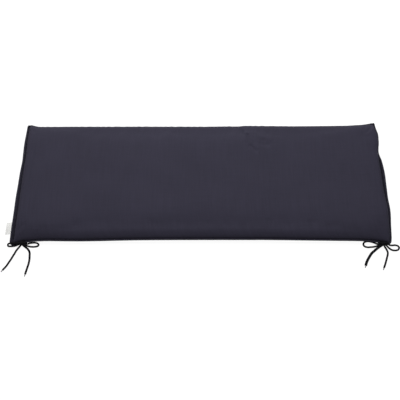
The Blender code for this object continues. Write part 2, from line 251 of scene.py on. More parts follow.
class Value:
    """A shader socket whose arithmetic adds Math nodes."""

    def __init__(self, tree: bpy.types.NodeTree, socket: bpy.types.NodeSocket) -> None:
        """Wraps one output socket of a node tree."""
        self.tree = tree
        self.socket = socket

    def math(self, operation: str, *inputs: Number) -> "Value":
        """Adds one Math node.

        Args:
            operation: The node's operation.
            inputs: Its inputs in order, wrapped sockets or numbers.

        Returns:
            The node's output.
        """
        node = self.tree.nodes.new("ShaderNodeMath")
        node.operation = operation
        for slot, item in zip(node.inputs, inputs):
            if isinstance(item, Value):
                self.tree.links.new(item.socket, slot)
            else:
                slot.default_value = item
        return Value(self.tree, node.outputs[0])

    def __add__(self, other: Number) -> "Value":
        """Adds."""
        return self.math("ADD", self, other)

    def __radd__(self, other: Number) -> "Value":
        """Adds, with the number first."""
        return self.math("ADD", other, self)

    def __sub__(self, other: Number) -> "Value":
        """Subtracts."""
        return self.math("SUBTRACT", self, other)

    def __rsub__(self, other: Number) -> "Value":
        """Subtracts from a number."""
        return self.math("SUBTRACT", other, self)

    def __mul__(self, other: Number) -> "Value":
        """Multiplies."""
        return self.math("MULTIPLY", self, other)

    def __rmul__(self, other: Number) -> "Value":
        """Multiplies, with the number first."""
        return self.math("MULTIPLY", other, self)

    def __abs__(self) -> "Value":
        """Takes the size without its sign."""
        return self.math("ABSOLUTE", self)

    def sine(self) -> "Value":
        """Takes the sine of an angle in radians."""
        return self.math("SINE", self)

    def clamp(self) -> "Value":
        """Keeps the value from 0 to 1."""
        return self.math("MINIMUM", self.math("MAXIMUM", self, 0.0), 1.0)

    def larger(self, other: Number) -> "Value":
        """Takes the larger of two values."""
        return self.math("MAXIMUM", self, other)


class Graph:
    """A material's node tree, built from typed nodes and value expressions."""

    def __init__(self, name: str) -> None:
        """Starts a material with one Principled shader.

        Args:
            name: The material's name.
        """
        self.material = bpy.data.materials.new(name)
        self.material.use_nodes = True
        self.tree = self.material.node_tree
        self.shader = next(node for node in self.tree.nodes if node.type == "BSDF_PRINCIPLED")

    def node(self, kind: str, settings: dict[str, object] | None = None,
             links: dict[str | int, object] | None = None) -> bpy.types.Node:
        """Adds a node.

        Args:
            kind: The node's type.
            settings: Its own settings.
            links: Values, colours or wrapped sockets for its inputs, by name or number.

        Returns:
            The new node.
        """
        made = self.tree.nodes.new(kind)
        for key, value in (settings or {}).items():
            setattr(made, key, value)
        for key, value in (links or {}).items():
            self.feed(made.inputs[key], value)
        return made

    def feed(self, slot: bpy.types.NodeSocket, value: object) -> None:
        """Links a wrapped socket to an input, or sets the input's own value.

        Args:
            slot: The input.
            value: The wrapped socket, number or colour.
        """
        if isinstance(value, Value):
            self.tree.links.new(value.socket, slot)
        else:
            slot.default_value = value

    def value(self, node: bpy.types.Node, output: str | int = 0) -> Value:
        """Wraps one output of a node."""
        return Value(self.tree, node.outputs[output])

    def places(self, output: str = "Object") -> tuple[Value, Value, Value]:
        """Splits a texture coordinate into its three numbers.

        Args:
            output: The coordinate's name, Object or UV.

        Returns:
            The three numbers.
        """
        coordinate = self.node("ShaderNodeTexCoord")
        split = self.node("ShaderNodeSeparateXYZ", links={0: self.value(coordinate, output)})
        return self.value(split, 0), self.value(split, 1), self.value(split, 2)

    def vector(self, x: Number, y: Number, z: Number = 0.0) -> Value:
        """Joins three numbers to a vector."""
        return self.value(self.node("ShaderNodeCombineXYZ", links={0: x, 1: y, 2: z}))

    def noise(self, place: Value, scale: float, detail: float = 2.0) -> Value:
        """Reads smooth noise around 0.5 at a place."""
        links = {"Vector": place, "Scale": scale, "Detail": detail, "Roughness": 0.55}
        return self.value(self.node("ShaderNodeTexNoise", links=links), "Fac")

    def blend(self, share: Value, first: Sequence[float], second: Sequence[float]) -> Value:
        """Mixes two colours by a value from 0 to 1."""
        links = {0: share, 6: (*first, 1.0), 7: (*second, 1.0)}
        return self.value(self.node("ShaderNodeMix", {"data_type": "RGBA"}, links), 2)

    def bump(self, height: Value, distance: float, strength: float) -> Value:
        """Turns a height into a normal."""
        links = {"Height": height, "Distance": distance, "Strength": strength}
        return self.value(self.node("ShaderNodeBump", links=links))

    def finish(self, **sockets: object) -> bpy.types.Material:
        """Feeds the shader's sockets.

        Args:
            sockets: Values by socket name, with underscores for spaces.

        Returns:
            The finished material.
        """
        for key, value in sockets.items():
            self.feed(self.shader.inputs[key.replace("_", " ")], value)
        return self.material


def scaled(colour: Sequence[float], factor: float) -> tuple[float, ...]:
    """Makes a colour lighter or darker by a factor."""
    return tuple(min(part * factor, 1.0) for part in colour)


@dataclass(frozen=True)
class WovenCloth:
    """A matt plain-woven cloth with slubbed yarns."""

    name: str
    colour: Point
    roughness: float = 0.92
    yarn: float = 0.0011
    slub: float = 0.08
    tone: float = 0.045
    depth: float = 0.00012
    strength: float = 0.55
    fine: float = 230.0
    coarse: float = 9.0
    weave_tone: float = 0.03
    darkest: float = 0.30
    palest: float = 1.70
    turned: bool = False
    # How much the painted shade in the 'tuck' attribute darkens the colour
    painted_seam_shade: float = 0.0

    def material(self) -> bpy.types.Material:
        """Builds the cloth's material.

        Returns:
            The material, with its weave on Object coordinates, or on the UV map on the bias.
        """
        graph = Graph(self.name)
        if self.turned:
            u, v, _ = graph.places("UV")
            across, along = (u + v) * BIAS, (u - v) * BIAS
        else:
            x, y, z = graph.places()
            across, along = x + z, y + z
        turn = 2 * math.pi / self.yarn
        weave = (across * turn).sine() * (along * turn).sine()
        warp = graph.noise(graph.vector(across * self.fine, along * self.coarse), 1.0)
        weft = graph.noise(graph.vector(across * self.coarse, along * self.fine, 5.0), 1.0)
        broad = graph.noise(graph.vector(across * 5.0, along * 6.0, 2.0), 1.0, 1.0)
        slubs = (warp - 0.5) * 1.4 + (weft - 0.5) * 0.8
        share = 0.5 + slubs * self.slub * 2.0 + (broad - 0.5) * self.tone * 3.0
        share = share + weave * self.weave_tone
        # Painted shade: the 'tuck' attribute darkens the cloth in the seam's groove and at the back
        # corners
        if self.painted_seam_shade:
            tuck = graph.value(graph.node("ShaderNodeAttribute", {"attribute_name": "tuck"}), "Fac")
            share = share - tuck * self.painted_seam_shade
        colour = graph.blend(share.clamp(), scaled(self.colour, self.darkest),
                             scaled(self.colour, self.palest))
        normal = graph.bump(weave * 0.5 + slubs, self.depth, self.strength)
        rough = (self.roughness + slubs * 0.04).clamp()
        return graph.finish(Base_Color=colour, Roughness=rough, Normal=normal,
                            Specular_IOR_Level=0.06)


@dataclass(frozen=True)
class BraidedCord:
    """A matt round cord braided from fine yarns, on a UV map of turns and metres."""

    name: str
    colour: Point
    strands: int = 6
    pitch: float = 0.0075
    roughness: float = 0.8
    fibres: tuple[float, float] = (30.0, 900.0)
    painted_groove_shade: float = 0.45
    painted_crest_light: float = 1.35
    depth: float = 0.0003
    strength: float = 0.7

    def material(self) -> bpy.types.Material:
        """Builds the cord's material.

        Returns:
            The material, a diamond braid with painted shade in its grooves and painted light on its
            crests.
        """
        graph = Graph(self.name)
        u, v, _ = graph.places("UV")
        turn = 2 * math.pi
        right = (u * (turn * self.strands) + v * (turn * 2 / self.pitch)).sine()
        left = (u * (turn * self.strands) - v * (turn * 2 / self.pitch)).sine()
        strand = abs(right).larger(abs(left))
        fibre = graph.noise(graph.vector(u * self.fibres[0], v * self.fibres[1]), 1.0)
        share = (strand * 0.75 + fibre * 0.35 - 0.15).clamp()
        # Painted shade darkens the braid's grooves and painted light lightens its crests
        colour = graph.blend(share, scaled(self.colour, self.painted_groove_shade),
                             scaled(self.colour, self.painted_crest_light))
        normal = graph.bump(strand + fibre * 0.3, self.depth, self.strength)
        return graph.finish(Base_Color=colour, Roughness=self.roughness, Normal=normal,
                            Specular_IOR_Level=0.05)


@dataclass(frozen=True)
class ClearTip:
    """Pale translucent film rolled tight round a cord's end, darker towards the tip."""

    name: str
    colour: Point
    dark: Point
    roughness: float = 0.28
    threads: tuple[float, float] = (14.0, 5.0)
    depth: float = 0.0002
    strength: float = 0.3
    coat: float = 0.25

    def material(self) -> bpy.types.Material:
        """Builds the tip's material.

        Returns:
            The material, graded along its own UV map.
        """
        graph = Graph(self.name)
        u, v, _ = graph.places("UV")
        threads = graph.noise(graph.vector(u * self.threads[0], v * self.threads[1]), 1.0)
        share = ((1.0 - v) * 0.75 + threads * 0.45 - 0.1).clamp()
        colour = graph.blend(share, self.dark, self.colour)
        rough = (self.roughness + threads * 0.1).clamp()
        normal = graph.bump(threads, self.depth, self.strength)
        return graph.finish(Base_Color=colour, Roughness=rough, Normal=normal,
                            Coat_Weight=self.coat)


@dataclass(frozen=True)
class WovenRibbon:
    """A close-woven pale ribbon with fine ribs and firm edges."""

    name: str
    colour: Point
    rib: float = 0.0008
    roughness: float = 0.72
    yarns: tuple[float, float] = (900.0, 300.0)
    darkest: float = 0.86
    palest: float = 1.04
    depth: float = 0.0001
    strength: float = 0.5

    def material(self) -> bpy.types.Material:
        """Builds the ribbon's material.

        Returns:
            The material, on Object coordinates.
        """
        graph = Graph(self.name)
        x, y, z = graph.places()
        ribs = abs((y * (math.pi / self.rib)).sine())
        across, along = self.yarns
        yarns = graph.noise(graph.vector(x * across, y * along, z * along), 1.0)
        share = (ribs * 0.6 + yarns * 0.5).clamp()
        colour = graph.blend(share, scaled(self.colour, self.darkest),
                             scaled(self.colour, self.palest))
        normal = graph.bump(ribs + yarns * 0.4, self.depth, self.strength)
        return graph.finish(Base_Color=colour, Roughness=self.roughness, Normal=normal)


@dataclass(frozen=True)
class PaleFloor:
    """A plain pale studio floor."""

    name: str
    colour: Point
    glow: float
    roughness: float = 0.95

    def material(self) -> bpy.types.Material:
        """Builds the floor's material.

        Returns:
            The material.
        """
        graph = Graph(self.name)
        return graph.finish(Base_Color=(*self.colour, 1.0), Roughness=self.roughness,
                            Specular_IOR_Level=0.0, Emission_Color=(1.0, 1.0, 1.0, 1.0),
                            Emission_Strength=self.glow)


class Finish(Enum):
    """The object's finishes."""

    # The cover and the piping darken by painted shade read from their 'tuck' attribute
    COVER = WovenCloth("cover_weave", (0.0160, 0.0149, 0.0237), painted_seam_shade=0.32)
    PIPING = WovenCloth("piping_weave", (0.0150, 0.0141, 0.0215), turned=True, painted_seam_shade=0.36)
    CORD = BraidedCord("cord_braid", (0.0030, 0.0028, 0.0038))
    TIP = ClearTip("tip_film", (0.085, 0.085, 0.090), (0.018, 0.018, 0.020))
    RIBBON = WovenRibbon("ribbon_weave", (0.44, 0.44, 0.43))
    FLOOR = PaleFloor("studio_floor", (0.08, 0.08, 0.08), 0.95)

    def dress(self, piece: bpy.types.Object) -> None:
        """Gives a piece this finish alone.

        Args:
            piece: The object to dress.
        """
        found = bpy.data.materials.get(self.value.name)
        piece.data.materials.clear()
        piece.data.materials.append(found or self.value.material())


class Slot(Enum):
    """The record's material slots."""

    COVER = "navy_cloth"
    PIPING = "piping_cloth"
    CORD = "tie_cord"
    TIP = "clear_tip"
    LABEL = "label_ribbon"


def make_mesh(name: str, places: np.ndarray, faces: np.ndarray) -> bpy.types.Object:
    """Makes a smooth mesh object at the origin.

    Args:
        name: The object's name.
        places: The vertices, one row each.
        faces: The faces, one row of vertex numbers each.

    Returns:
        The new object, linked to the scene.
    """
    mesh = bpy.data.meshes.new(name)
    mesh.from_pydata(places.tolist(), [], [list(face) for face in faces])
    mesh.validate()
    mesh.shade_smooth()
    piece = bpy.data.objects.new(name, mesh)
    bpy.context.collection.objects.link(piece)
    return piece


def deselect_all() -> None:
    """Deselects every object."""
    for other in bpy.context.selected_objects:
        other.select_set(False)


def select_only(piece: bpy.types.Object) -> None:
    """Makes one object the only selected and active one.

    Args:
        piece: The object.
    """
    deselect_all()
    piece.select_set(True)
    bpy.context.view_layer.objects.active = piece


def face_outwards(piece: bpy.types.Object) -> None:
    """Turns every face of a closed piece outwards.

    Args:
        piece: The piece, which stays the only selected one.
    """
    select_only(piece)
    bpy.ops.object.mode_set(mode="EDIT")
    bpy.ops.mesh.select_all(action="SELECT")
    bpy.ops.mesh.normals_make_consistent(inside=False)
    bpy.ops.object.mode_set(mode="OBJECT")


def join(pieces: Sequence[bpy.types.Object], name: str) -> bpy.types.Object:
    """Joins pieces into the first one.

    Args:
        pieces: The pieces to join.
        name: The joined piece's name.

    Returns:
        The joined piece.
    """
    for piece in pieces:
        piece.select_set(True)
    bpy.context.view_layer.objects.active = pieces[0]
    bpy.ops.object.join()
    pieces[0].name = pieces[0].data.name = name
    return pieces[0]


def apply_modifiers(piece: bpy.types.Object) -> None:
    """Applies every modifier of an object, in order.

    Args:
        piece: The object.
    """
    select_only(piece)
    for modifier in list(piece.modifiers):
        bpy.ops.object.modifier_apply(modifier=modifier.name)


def read_places(mesh: bpy.types.Mesh) -> np.ndarray:
    """Reads a mesh's vertices.

    Args:
        mesh: The mesh.

    Returns:
        The vertices' places, one row each.
    """
    flat = np.empty(len(mesh.vertices) * 3)
    mesh.vertices.foreach_get("co", flat)
    return flat.reshape(-1, 3)


def write_places(mesh: bpy.types.Mesh, places: np.ndarray) -> None:
    """Moves a mesh's vertices to rows of three numbers."""
    mesh.vertices.foreach_set("co", places.ravel())
    mesh.update()


def read_number(mesh: bpy.types.Mesh, name: str) -> np.ndarray:
    """Reads one named number of each vertex.

    Args:
        mesh: The mesh.
        name: The number's name.

    Returns:
        The numbers, in the vertices' order.
    """
    numbers = np.empty(len(mesh.vertices))
    mesh.attributes[name].data.foreach_get("value", numbers)
    return numbers


def write_number(mesh: bpy.types.Mesh, name: str, numbers: np.ndarray) -> None:
    """Adds one named number to each vertex."""
    mesh.attributes.new(name, "FLOAT", "POINT").data.foreach_set("value", numbers)


def settle(piece: bpy.types.Object, slot: Slot, finish: Finish, *nodes: str) -> bpy.types.Object:
    """Dresses a piece, rides it on the body and lets it stand for its nodes.

    Args:
        piece: The finished piece.
        slot: The record's slot, which is not used.
        finish: The finish to wear.
        nodes: The nodes that it replaces.

    Returns:
        The piece.
    """
    finish.dress(piece)
    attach(piece, "root")
    if nodes:
        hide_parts(*nodes)
    log.info("%s: %d vertices", piece.name, len(piece.data.vertices))
    return piece


def smooth_route(route: Sequence[Point], spacing: float, lowest: float) -> np.ndarray:
    """Reads even points from the smooth curve through a route.

    Args:
        route: The route's own points, in metres.
        spacing: How far apart to read, in metres.
        lowest: The lowest height that a point may have.

    Returns:
        The points, one row each.
    """
    places = np.asarray(route, dtype=float)
    padded = np.vstack([2 * places[0] - places[1], places, 2 * places[-1] - places[-2]])
    shares = (np.arange(SPAN_STEPS) / SPAN_STEPS)[:, None]
    fine = [catmull(*padded[row:row + 4], shares) for row in range(len(places) - 1)]
    line = np.vstack([*fine, places[-1:]])
    lengths = np.concatenate([[0.0], np.cumsum(np.linalg.norm(np.diff(line, axis=0), axis=1))])
    count = max(4, round(lengths[-1] / spacing))
    wanted = np.linspace(0.0, lengths[-1], count + 1)
    points = np.stack([np.interp(wanted, lengths, line[:, axis]) for axis in range(3)], axis=1)
    points[:, 2] = np.maximum(points[:, 2], lowest)
    return points


def sweep(name: str, centres: np.ndarray, radius: Callable[[np.ndarray, np.ndarray], np.ndarray],
          sides: int, closed: bool) -> bpy.types.Object:
    """Sweeps a round section along a line and lays a UV map of turns and metres on it.

    Args:
        name: The piece's name.
        centres: The line's points, one row each.
        radius: Gives the radius from the metres along and the angle around.
        sides: How many sides the section has.
        closed: Whether the line is a ring; an open one gets rounded ends.

    Returns:
        The tube.
    """
    count = len(centres)
    if closed:
        heading = np.roll(centres, -1, axis=0) - np.roll(centres, 1, axis=0)
    else:
        heading = np.gradient(centres, axis=0)
    heading /= np.linalg.norm(heading, axis=1)[:, None]
    side = np.cross(heading, (0.0, 0.0, 1.0))
    upright = np.linalg.norm(side, axis=1) < UPRIGHT
    side[upright] = np.cross(heading[upright], (0.0, 1.0, 0.0))
    side /= np.linalg.norm(side, axis=1)[:, None]
    up = np.cross(side, heading)
    steps = np.linalg.norm(np.diff(centres, axis=0), axis=1)
    along = np.concatenate([[0.0], np.cumsum(steps)])
    angles = 2 * np.pi * np.arange(sides) / sides
    size = radius(along[:, None], angles[None, :])
    rings = (centres[:, None, :] + side[:, None, :] * (np.cos(angles) * size)[..., None]
             + up[:, None, :] * (np.sin(angles) * size)[..., None])
    places = rings.reshape(-1, 3)
    faces, uvs = [], []
    for ring in range(count if closed else count - 1):
        following = (ring + 1) % count
        start = along[ring]
        end = along[ring + 1] if ring + 1 < count else along[-1] + steps.mean()
        for step in range(sides):
            after = (step + 1) % sides
            faces.append((ring * sides + step, ring * sides + after,
                          following * sides + after, following * sides + step))
            low, high = step / sides, (step + 1) / sides
            uvs.extend(((low, start), (high, start), (high, end), (low, end)))
    if not closed:
        usual = float(np.mean(size))
        places = np.vstack([places, centres[0] - heading[0] * usual * END_ROUNDING,
                            centres[-1] + heading[-1] * usual * END_ROUNDING])
        for tip, ring, turned in ((count * sides, 0, True), (count * sides + 1, count - 1, False)):
            for step in range(sides):
                pair = (ring * sides + step, ring * sides + (step + 1) % sides)
                faces.append((pair[1], pair[0], tip) if turned else (pair[0], pair[1], tip))
                place = along[ring]
                uvs.extend(((step / sides, place), ((step + 1) / sides, place),
                            ((step + 0.5) / sides, place)))
    mesh = bpy.data.meshes.new(name)
    mesh.from_pydata(places.tolist(), [], faces)
    layer = mesh.uv_layers.new(name="UVMap")
    layer.data.foreach_set("uv", np.asarray(uvs, dtype=float).ravel())
    mesh.shade_smooth()
    piece = bpy.data.objects.new(name, mesh)
    bpy.context.collection.objects.link(piece)
    face_outwards(piece)
    return piece


@dataclass
class Cushion:
    """The filled cover: a crowned top and a flat underside that meet at the piped rim."""

    half_x: float = 0.6075 - 0.0050
    half_y: float = 0.2400 - 0.0050
    seam: float = 0.021
    roll_rise: float = 0.0215
    roll_reach: float = 0.026
    end_reach: float = 0.014
    dome_rise: float = 0.0085
    dome_reach: float = 0.125
    dome_fall: float = 2.4
    under_reach: float = 0.034
    edge_fade: float = 0.15
    edge_swell: float = 0.0012
    bulge_centre: float = 0.142
    bulge_reach: float = 0.042
    bulge_out: float = 0.006
    pitch: float = 0.0082
    step_growth: float = 1.2
    seam_dip: float = 0.2
    # How far the painted seam shade fades in from the flat seam
    painted_shade_fade: float = 0.0022
    # How much wider the painted shade spreads at the back corners
    painted_corner_fade: float = 0.0045
    pressure: float = 4.0
    frames: int = 20
    motion_cap: float = 0.0024
    still_rim: float = 0.006
    still_fade: float = 0.040
    slack: float = -0.02
    dip_past: float = 0.004
    rim_places: tuple[float, ...] = (0.0, 0.0015, 0.003, 0.0045, 0.006, 0.008, 0.010)
    rim_steps: tuple[float, float] = (0.0009, 0.0006)
    gather_height: float = 0.00075
    gather_rate: float = 262.0
    gather_start: float = 0.003
    gather_fall: float = 0.013
    wander_height: float = 0.0009
    wander_inset: float = 0.05

    def seam_height(self, x: np.ndarray, y: np.ndarray) -> np.ndarray:
        """Finds the seam's height at plan places.

        Args:
            x: Places along X of the uneven outline.
            y: Places along Y.

        Returns:
            The heights.
        """
        height = np.full_like(x, self.seam)
        for corner_x, corner_y, droop, reach, _ in CORNERS:
            away = np.hypot(x - corner_x * MM, y - corner_y * MM) / (reach * MM)
            height = height - droop * MM * np.exp(-away ** 2)
        return height

    def plan(self, x: np.ndarray, y: np.ndarray) -> tuple[np.ndarray, np.ndarray]:
        """Moves places of the plain rectangle to the cushion's own uneven outline.

        Args:
            x: Places along X.
            y: Places along Y.

        Returns:
            The moved places.
        """
        radius = np.select(
            [(x * cx > 0) & (y * cy > 0) for cx, cy, *_ in CORNERS],
            [np.full_like(x, corner[4] * MM) for corner in CORNERS], 10 * MM)
        over_x = np.clip((np.abs(x) - self.half_x + radius) / radius, 0, 1)
        over_y = np.clip((np.abs(y) - self.half_y + radius) / radius, 0, 1)
        new_x = np.abs(x) + radius * over_x * (np.sqrt(1 - over_y ** 2 / 2) - 1)
        new_y = np.abs(y) + radius * over_y * (np.sqrt(1 - over_x ** 2 / 2) - 1)
        near_end = np.clip(1 - (self.half_x - np.abs(x)) / self.edge_fade, 0, None) ** 2
        near_side = np.clip(1 - (self.half_y - np.abs(y)) / self.edge_fade, 0, None) ** 2
        new_x = new_x + read_sides(END_EDGES, x, y) * near_end
        new_y = new_y + read_sides(LONG_EDGES, y, x) * near_side
        return np.copysign(new_x, x), np.copysign(new_y, y)

    @staticmethod
    def arc(share: np.ndarray) -> np.ndarray:
        """Rises as a quarter circle does, from 0 to 1 and on level."""
        return np.sqrt(1 - (1 - np.clip(share, 0, 1)) ** 2)

    @staticmethod
    def seams(x: np.ndarray, y: np.ndarray) -> tuple[np.ndarray, np.ndarray]:
        """Finds the width of the flat seam at the nearer end and at the nearer long edge."""
        back = np.where(y > 0, read_table(BACK_SEAMS, x / MM, 1), 0.0) * MM
        return read_sides(END_SEAMS, x, y), back

    def rolls(self, x: np.ndarray, y: np.ndarray) -> tuple[np.ndarray, np.ndarray]:
        """Finds the rise of the rolled edge past the flat seam.

        Args:
            x: Places along X of the plain rectangle.
            y: Places along Y.

        Returns:
            The rise in from the ends and in from the long edges, each from 0 to 1.
        """
        end_seam, side_seam = self.seams(x, y)
        return (self.arc((self.half_x - end_seam - np.abs(x)) / self.end_reach),
                self.arc((self.half_y - side_seam - np.abs(y)) / self.roll_reach))

    @staticmethod
    def painted_corner_shade(x: np.ndarray, y: np.ndarray) -> np.ndarray:
        """Finds how far places lie in the painted shade of a back corner.

        Args:
            x: Places along X.
            y: Places along Y.

        Returns:
            The share, from 0 to 1.
        """
        shares = [
            np.clip((x * side - start_x) / fade_x, 0, 1) * np.clip((y - start_y) / fade_y, 0, 1)
            for side, start_x, fade_x, start_y, fade_y in BACK_CORNER_SHADES
        ]
        return np.maximum(*shares)

    def tuck(self, x: np.ndarray, y: np.ndarray) -> np.ndarray:
        """Finds how strongly painted shade darkens places in the tuck beside the piping, from 0 to
        1.

        Args:
            x: Places along X of the plain rectangle.
            y: Places along Y.

        Returns:
            The painted shade's share, 1 in the tuck and 0 on the roll.
        """
        end_seam, side_seam = self.seams(x, y)
        # Painted shade spreads wider at the back corners
        fade = self.painted_shade_fade + self.painted_corner_fade * self.painted_corner_shade(x, y)
        past_end = (self.half_x - np.abs(x) - end_seam) / fade
        past_side = (self.half_y - np.abs(y) - side_seam) / fade
        return np.maximum(np.clip(1 - past_end, 0, 1), np.clip(1 - past_side, 0, 1))

    def top(self, x: np.ndarray, y: np.ndarray) -> np.ndarray:
        """Finds the crowned top over places of the plain rectangle.

        Args:
            x: Places along X of the plain rectangle.
            y: Places along Y.

        Returns:
            The top's points, with X, Y and Z on the last axis.
        """
        plan_x, plan_y = self.plan(x, y)
        rise_x, rise_y = self.rolls(x, y)
        insets = (self.half_x - np.abs(x), self.half_y - np.abs(y))
        domes = [1 - (1 - np.clip(inset / self.dome_reach, 0, 1)) ** self.dome_fall
                 for inset in insets]
        roll = rise_x * rise_y
        past_seam = self.seams(x, y)[0] + self.dip_past
        dip = np.sin(np.pi * np.clip(insets[0] / past_seam, 0, 1)) ** 2
        height = self.seam_height(plan_x, plan_y) * (1 - self.seam_dip * dip)
        height = height + self.roll_rise * roll + self.dome_rise * domes[0] * domes[1]
        height = height - line_relief(TROUGHS, plan_x, plan_y) * roll
        bulge = self.bulge_out * np.exp(-((y - self.bulge_centre) / self.bulge_reach) ** 2)
        out_x = self.edge_swell + np.where(x > 0, bulge, 0)
        out_x = out_x * PEAK * rise_x ** 2 * (1 - rise_x) * rise_y
        out_y = self.edge_swell * PEAK * rise_y ** 2 * (1 - rise_y) * rise_x
        places = [plan_x + np.copysign(out_x, x), plan_y + np.copysign(out_y, y), height]
        return np.stack(places, axis=-1)

    def bottom(self, x: np.ndarray, y: np.ndarray) -> np.ndarray:
        """Finds the underside, flat inside its turned-up edge.

        Args:
            x: Places along X of the plain rectangle.
            y: Places along Y.

        Returns:
            The underside's points, with X, Y and Z on the last axis.
        """
        plan_x, plan_y = self.plan(x, y)
        turn = self.arc((self.half_x - np.abs(x)) / self.under_reach)
        turn = turn * self.arc((self.half_y - np.abs(y)) / self.under_reach)
        height = self.seam_height(plan_x, plan_y) * (1 - turn)
        return np.stack([plan_x, plan_y, height], axis=-1)

    def lines(self, half: float, step: float) -> np.ndarray:
        """Lists the grid's places along one axis.

        Args:
            half: Half the cover's size along the axis.
            step: The first step in from the rim; each further one is a little longer.

        Returns:
            The places, close together at the rolled edge.
        """
        insets = [0.0]
        while step < self.pitch * 0.8:
            insets.append(insets[-1] + step)
            step *= self.step_growth
        inner = half - insets[-1]
        count = round(inner / self.pitch)
        positive = [half - inset for inset in insets]
        positive += [inner * step / count for step in range(count - 1, 0, -1)]
        return np.array([-place for place in positive] + [0.0] + positive[::-1])

    def rim(self, pitch: float) -> np.ndarray:
        """Finds the rim all the way round, counterclockwise from the front left corner.

        Args:
            pitch: About how far apart the points are.

        Returns:
            The rim's points, one row each.
        """
        def run(half: float) -> np.ndarray:
            """Lists places from one corner to the next, close together at both.

            Args:
                half: Half the distance between the corners.

            Returns:
                The places, from negative to positive.
            """
            corner = np.array(self.rim_places)
            inner = half - corner[-1]
            middle = np.linspace(-inner, inner, round(2 * inner / pitch) + 1)
            return np.concatenate([-half + corner[:-1], middle, (half - corner[:-1])[::-1]])

        along, across = run(self.half_x), run(self.half_y)
        x = np.concatenate([along[:-1], np.full(len(across) - 1, self.half_x),
                            along[:0:-1], np.full(len(across) - 1, -self.half_x)])
        y = np.concatenate([np.full(len(along) - 1, -self.half_y), across[:-1],
                            np.full(len(along) - 1, self.half_y), across[:0:-1]])
        return self.top(x, y)

    def shell(self) -> bpy.types.Object:
        """Builds the closed cover on its grid and keeps each vertex's plain place.

        Returns:
            The bare cover.
        """
        halves = (self.half_x, self.half_y)
        axes = [self.lines(half, step) for half, step in zip(halves, self.rim_steps)]
        grid_x, grid_y = np.meshgrid(*axes, indexing="ij")
        shape = grid_x.shape
        top = self.top(grid_x, grid_y).reshape(-1, 3)
        bottom = self.bottom(grid_x, grid_y).reshape(-1, 3)
        numbers = np.arange(top.shape[0]).reshape(shape)
        inner = np.zeros(shape, dtype=bool)
        inner[1:-1, 1:-1] = True
        under = numbers.copy()
        under[inner] = len(top) + np.arange(inner.sum())
        above = (numbers[:-1, :-1], numbers[1:, :-1], numbers[1:, 1:], numbers[:-1, 1:])
        below = (under[:-1, :-1], under[:-1, 1:], under[1:, 1:], under[1:, :-1])
        faces = np.vstack([np.stack(corners, axis=-1).reshape(-1, 4) for corners in (above, below)])
        cover = make_mesh("cushion_cover", np.vstack([top, bottom[inner.ravel()]]), faces)
        plain = {
            "plain_x": np.concatenate([grid_x.ravel(), grid_x[inner]]),
            "plain_y": np.concatenate([grid_y.ravel(), grid_y[inner]]),
            "face_up": np.concatenate([inner.ravel().astype(float), -np.ones(inner.sum())]),
        }
        for name, values in plain.items():
            write_number(cover.data, name, values)
        return cover

    def fill(self, cover: bpy.types.Object) -> None:
        """Swells the cover with a short pressure simulation, held at its rim and underside.

        Args:
            cover: The closed cover.
        """
        before = read_places(cover.data)
        face_up = read_number(cover.data, "face_up")
        held = cover.vertex_groups.new(name="held")
        held.add([int(number) for number in np.flatnonzero(face_up <= 0)], 1.0, "REPLACE")
        modifier = cover.modifiers.new("filling", "CLOTH")
        settings = modifier.settings
        settings.use_pressure = True
        settings.uniform_pressure_force = self.pressure
        settings.effector_weights.gravity = 0.0
        settings.vertex_group_mass = held.name
        settings.shrink_min = self.slack
        settings.quality = 4
        modifier.point_cache.frame_end = self.frames
        scene = bpy.context.scene
        for number in range(1, self.frames + 1):
            scene.frame_set(number)
        apply_modifiers(cover)
        scene.frame_set(1)
        cover.vertex_groups.clear()
        motion = read_places(cover.data) - before
        size = np.linalg.norm(motion, axis=1)
        inset = np.minimum(self.half_x - np.abs(read_number(cover.data, "plain_x")),
                           self.half_y - np.abs(read_number(cover.data, "plain_y")))
        share = np.clip((inset - self.still_rim) / self.still_fade, 0, 1) * (face_up > 0)
        share = share * np.minimum(1.0, self.motion_cap / np.maximum(size, 1e-9))
        write_places(cover.data, before + motion * share[:, None])
        log.info("filling moved the cover by %.1f mm at most", 1000 * (size * share).max())

    def relief(self, x: np.ndarray, y: np.ndarray) -> np.ndarray:
        """Finds the cover's own creases and seam gathers over plain places.

        Args:
            x: Places along X.
            y: Places along Y.

        Returns:
            The height to add along the surface's normal.
        """
        inset_x, inset_y = self.half_x - np.abs(x), self.half_y - np.abs(y)
        height = -line_relief(CREASES, x, y)
        for inset, along, phase in ((inset_y, x, np.where(y > 0, 1.7, 0.0)),
                                    (inset_x, y, np.where(x > 0, 4.1, 2.6))):
            beat = np.sin(along * 61 + phase) + 0.7 * np.sin(along * 23.7 + 2 * phase)
            gather = np.sin(along * self.gather_rate + 1.6 * beat + phase) * (0.55 + 0.25 * beat)
            fade = np.clip(inset / self.gather_start, 0, 1) * np.exp(-inset / self.gather_fall)
            height = height + self.gather_height * gather * fade
        wander = np.sin(x * 17.3 + 1.9 * np.sin(y * 13.1))
        wander = wander * np.sin(y * 21.7 + 1.3 * np.sin(x * 9.1))
        middle = np.clip(np.minimum(inset_x, inset_y) / self.wander_inset, 0, 1)
        return height + self.wander_height * wander * middle

    def sew(self, cover: bpy.types.Object) -> None:
        """Refines the cover and presses its creases and seam gathers into it.

        Args:
            cover: The filled cover.
        """
        modifier = cover.modifiers.new("finer", "SUBSURF")
        modifier.levels = modifier.render_levels = 1
        modifier.boundary_smooth = "PRESERVE_CORNERS"
        apply_modifiers(cover)
        mesh = cover.data
        face_up = np.clip(read_number(mesh, "face_up"), 0, 1)
        plain_x, plain_y = read_number(mesh, "plain_x"), read_number(mesh, "plain_y")
        height = self.relief(plain_x, plain_y) * face_up
